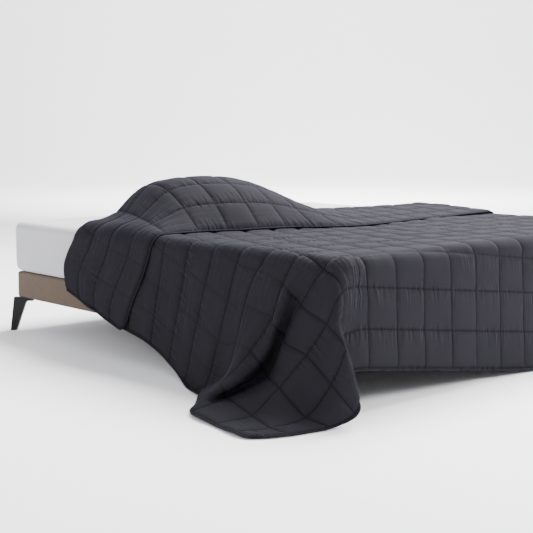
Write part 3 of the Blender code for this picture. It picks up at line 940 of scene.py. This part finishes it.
def brushed_cloth(settings):
    """Brushed polyester microfibre, woven and quilted: matt, soft at grazing angles, with fine creases
    where it bends and small gathers along each seam."""
    tree, shader, material = new_material("brushed microfibre cloth")
    cloth = add(tree, "ShaderNodeUVMap", uv_map="cloth").outputs[0]
    crease = add(tree, "ShaderNodeAttribute", attribute_name="crease").outputs["Fac"]
    gather = add(tree, "ShaderNodeAttribute", attribute_name="gather").outputs["Fac"]
    flat = add(tree, "ShaderNodeSeparateXYZ", {0: cloth})
    away = add(tree, "ShaderNodeMath", {0: flat.outputs["X"], 1: CELL / 2}, operation="PINGPONG")
    near_column = add(
        tree,
        "ShaderNodeMapRange",
        {"Value": away.outputs[0], "From Min": 0.0, "From Max": 0.030, "To Min": 1.0, "To Max": 0.0},
        interpolation_type="SMOOTHSTEP",
    )
    # Creases run down the side: about 33 mm apart, and a finer set 12 mm apart.
    wide = scaled_noise(tree, cloth, (2.5, 30.0, 1.0), 1.5, 0.5)
    fine = scaled_noise(tree, cloth, (9.0, 80.0, 1.0), 1.0, 0.4)
    # Gathers stand square to a seam, about 25 mm apart at a cross seam and 14 mm at the others.
    across_rows = scaled_noise(tree, cloth, (40.0, 6.0, 1.0), 2.0, 0.9)
    across_columns = scaled_noise(tree, cloth, (13.0, 72.0, 1.0), 1.0, 0.3)
    # Threads are 0.3 mm apart, too fine to show, so the nap is drawn 3 mm across.
    nap = scaled_noise(tree, cloth, (330.0, 330.0, 1.0), 2.0)
    height = plus(
        tree,
        times(tree, crease, wide, WIDE_CREASES),
        times(tree, crease, fine, FINE_CREASES),
        times(tree, gather, across_rows, ROW_GATHERS),
        times(tree, near_column.outputs[0], across_columns, COLUMN_GATHERS),
        times(tree, nap, NAP),
    )
    bump(tree, shader, height)
    cloudy = scaled_noise(tree, cloth, (6.0, 6.0, 1.0), 3.0)
    factor = plus(tree, times(tree, cloudy, 0.9), times(tree, nap, 0.5), 0.5)
    two_tones(tree, shader, factor, shade(settings.colour, 0.90), shade(settings.colour, 1.10))
    # Painted shade: little light gets into the dip along a seam, so the colour darkens there.
    dip = add(tree, "ShaderNodeAttribute", attribute_name="dip").outputs["Fac"]
    in_dip = times(tree, dip, DIP_SHARE)
    two_tones(tree, shader, in_dip, base_colour(shader), shade(settings.colour, DIP_SHADE))
    looks = {
        "Roughness": 0.88,
        "Specular IOR Level": 0.05,
        "Specular Tint": linear("#e2dfff"),
        "Sheen Weight": 0.04,
        "Sheen Roughness": 0.25,
        "Sheen Tint": linear("#c9c2ff"),
    }
    set_inputs(shader, looks)
    return material


def spun_thread(settings):
    """Spun polyester thread, dyed to match the cloth and sunk in its seams; its tones are the cloth's
    colour darkened with painted shade.
    """
    tree, shader, material = new_material("spun polyester thread")
    place = add(tree, "ShaderNodeTexCoord").outputs["Object"]
    twist = scaled_noise(tree, place, (400.0, 400.0, 400.0))
    # Painted shade: the thread's tones are the cloth's colour at 30 and 45 per cent, for the seam's shade
    # it sits in.
    dark, light = shade(settings.colour, 0.30), shade(settings.colour, 0.45)
    two_tones(tree, shader, plus(tree, twist, 0.5), dark, light)
    set_inputs(shader, {"Roughness": 0.8, "Specular IOR Level": 0.05})
    return material


def knitted_cover(settings):
    """Knitted polyester mattress cover, fine ribs 3 mm apart: white, matt and soft."""
    tree, shader, material = new_material("knitted polyester cover")
    place = add(tree, "ShaderNodeTexCoord").outputs["Object"]
    ribs = scaled_noise(tree, place, (300.0, 300.0, 90.0))
    cloudy = scaled_noise(tree, place, (7.0, 7.0, 7.0), 3.0)
    bump(tree, shader, plus(tree, times(tree, ribs, 0.0004), times(tree, cloudy, 0.003)))
    factor = plus(tree, cloudy, times(tree, ribs, 0.6), 0.5)
    colour = settings.mattress_colour
    two_tones(tree, shader, factor, shade(colour, 0.95), shade(colour, 1.04))
    set_inputs(shader, {"Roughness": 0.85, "Specular IOR Level": 0.2, "Sheen Weight": 0.1})
    return material


def woven_upholstery(settings):
    """Woven polyester and linen upholstery in beige: threads 2 mm apart, crossing, some of them paler.
    Its underside is coloured near black, a painted shade that keeps light from bouncing onto the floor
    under the bed."""
    tree, shader, material = new_material("woven linen upholstery")
    place = add(tree, "ShaderNodeTexCoord").outputs["Object"]
    level = scaled_noise(tree, place, (60.0, 60.0, 480.0), 1.0)
    upright = scaled_noise(tree, place, (480.0, 480.0, 60.0), 1.0)
    cloudy = scaled_noise(tree, place, (9.0, 9.0, 9.0), 3.0)
    weave = plus(tree, level, upright)
    bump(tree, shader, times(tree, weave, 0.0007))
    factor = plus(tree, times(tree, weave, 1.1), times(tree, cloudy, 0.5), 0.5)
    colour = settings.base_colour
    two_tones(tree, shader, factor, shade(colour, 0.82), shade(colour, 1.15))
    # Painted shade: the underside and its lowest few millimetres turn near black.
    height = add(tree, "ShaderNodeSeparateXYZ", {0: place}).outputs["Z"]
    underside_shade_top = BASE_LOW.z + UNDERSIDE_SHADE_HEIGHT
    under = add(tree, "ShaderNodeMath", {0: height, 1: underside_shade_top}, operation="LESS_THAN")
    two_tones(tree, shader, under.outputs[0], base_colour(shader), linear("#0c0c0d"))
    set_inputs(shader, {"Roughness": 0.9, "Specular IOR Level": 0.2, "Sheen Weight": 0.05})
    return material


def powder_coat(settings):
    """Black powder coat on pressed steel: an even satin skin with a fine orange-peel texture."""
    tree, shader, material = new_material("powder-coated pressed steel")
    place = add(tree, "ShaderNodeTexCoord").outputs["Object"]
    peel = scaled_noise(tree, place, (350.0, 350.0, 350.0))
    bump(tree, shader, times(tree, peel, 0.0002))
    dark, light = shade(settings.leg_colour, 0.8), shade(settings.leg_colour, 1.2)
    two_tones(tree, shader, plus(tree, peel, 0.5), dark, light)
    set_inputs(shader, {"Roughness": 0.42, "Specular IOR Level": 0.25})
    return material


def pale_floor():
    """Pale matt studio floor, almost one tone."""
    tree, shader, material = new_material("pale matt floor")
    place = add(tree, "ShaderNodeTexCoord").outputs["Object"]
    cloudy = scaled_noise(tree, place, (0.6, 0.6, 0.6))
    two_tones(tree, shader, plus(tree, cloudy, 0.5), linear("#f5f5f7"), linear("#f8f8f9"))
    set_inputs(shader, {"Roughness": 0.75, "Specular IOR Level": 0.2})
    return material


# ---- Stage


def add_light(name, place, target, size, power):
    """Adds a soft white light that faces its target."""
    lamp = bpy.data.lights.new(name, "AREA")
    lamp.shape = "RECTANGLE"
    lamp.size, lamp.size_y = size
    lamp.energy = power
    obj = bpy.data.objects.new(name, lamp)
    bpy.context.scene.collection.objects.link(obj)
    aim = np.array(target) - np.array(place)
    obj.location = place
    obj.rotation_euler = (
        math.atan2(math.hypot(aim[0], aim[1]), -aim[2]),
        0.0,
        math.atan2(-aim[0], aim[1]),
    )


class MakeStage(bpy.types.Operator):
    """Make the floor, the lights and the camera"""

    bl_idname = "bedding.make_stage"
    bl_label = "Floor, lights and camera"

    def execute(self, context):
        scene = context.scene
        # A floor that curves up all round, so that no horizon shows.
        rings = [(0.0, 0.0), *((radius, 0.0) for radius in FLOOR_RINGS)]
        for angle in np.radians(range(10, 91, 10)):
            radius = FLOOR_RINGS[-1] + FLOOR_BEND * math.sin(angle)
            rings.append((radius, FLOOR_BEND - FLOOR_BEND * math.cos(angle)))
        bm = bmesh.new()
        profile = [bm.verts.new((radius, 0.0, height)) for radius, height in rings]
        edges = [bm.edges.new(pair) for pair in zip(profile, profile[1:])]
        bmesh.ops.spin(
            bm,
            geom=profile + edges,
            axis=(0, 0, 1),
            cent=(0, 0, 0),
            angle=math.tau,
            steps=96,
            use_merge=True,
        )
        bmesh.ops.remove_doubles(bm, verts=bm.verts, dist=0.0001)
        bmesh.ops.recalc_face_normals(bm, faces=bm.faces)
        mesh = bpy.data.meshes.new("studio_floor")
        bm.to_mesh(mesh)
        bm.free()
        mesh.shade_smooth()
        mesh.materials.append(pale_floor())
        floor = bpy.data.objects.new("studio_floor", mesh)
        scene.collection.objects.link(floor)

        world = bpy.data.worlds.new("soft studio")
        world.use_nodes = True
        sky = world.node_tree.nodes["Background"]
        sky.inputs["Color"].default_value = linear("#f4f5f8")
        sky.inputs["Strength"].default_value = SKY_STRENGTH
        scene.world = world
        for light in LIGHTS:
            add_light(*light)

        lens = bpy.data.cameras.new("photo_camera")
        lens.sensor_fit = "HORIZONTAL"
        lens.sensor_width = CAMERA_SENSOR
        lens.lens = CAMERA_LENS
        lens.clip_end = 100.0
        camera = bpy.data.objects.new("photo_camera", lens)
        scene.collection.objects.link(camera)
        x, y, z = CAMERA_PLACE
        camera.location = (BASE_LOW.x + x, BASE_LOW.y + y, z)
        camera.rotation_euler = (math.radians(90 - CAMERA_PITCH), 0.0, math.radians(CAMERA_YAW))
        scene.camera = camera
        return {"FINISHED"}


# ---- The add-on


class BeddingPanel(bpy.types.Panel):
    """Lists the pieces and their sizes"""

    bl_idname = "VIEW3D_PT_bedding"
    bl_label = "Bedding"
    bl_space_type = "VIEW_3D"
    bl_region_type = "UI"
    bl_category = "Bedding"

    def draw(self, context):
        layout = self.layout
        for settings in (context.scene.bedding_blanket, context.scene.bedding_bed):
            box = layout.box()
            for name in settings.bl_rna.properties.keys():
                if name not in {"rna_type", "name"}:
                    box.prop(settings, name)
        for operator in PIECES:
            layout.operator(operator.bl_idname)


PIECES = (MakeMattress, MakeBase, FinishLegs, MakeBlanket, StitchBlanket, MakeStage)
CLASSES = (BlanketSettings, BedSettings, *PIECES, BeddingPanel)


def register():
    for kind in CLASSES:
        bpy.utils.register_class(kind)
    bpy.types.Scene.bedding_blanket = PointerProperty(type=BlanketSettings)
    bpy.types.Scene.bedding_bed = PointerProperty(type=BedSettings)


def unregister():
    del bpy.types.Scene.bedding_bed
    del bpy.types.Scene.bedding_blanket
    for kind in reversed(CLASSES):
        bpy.utils.unregister_class(kind)


def main():
    register()
    bpy.ops.bedding.make_mattress()
    bpy.ops.bedding.make_base()
    bpy.ops.bedding.finish_legs()
    bpy.ops.bedding.make_blanket()
    bpy.ops.bedding.stitch_blanket()
    bpy.ops.bedding.make_stage()


if __name__ == "__main__":
    main()
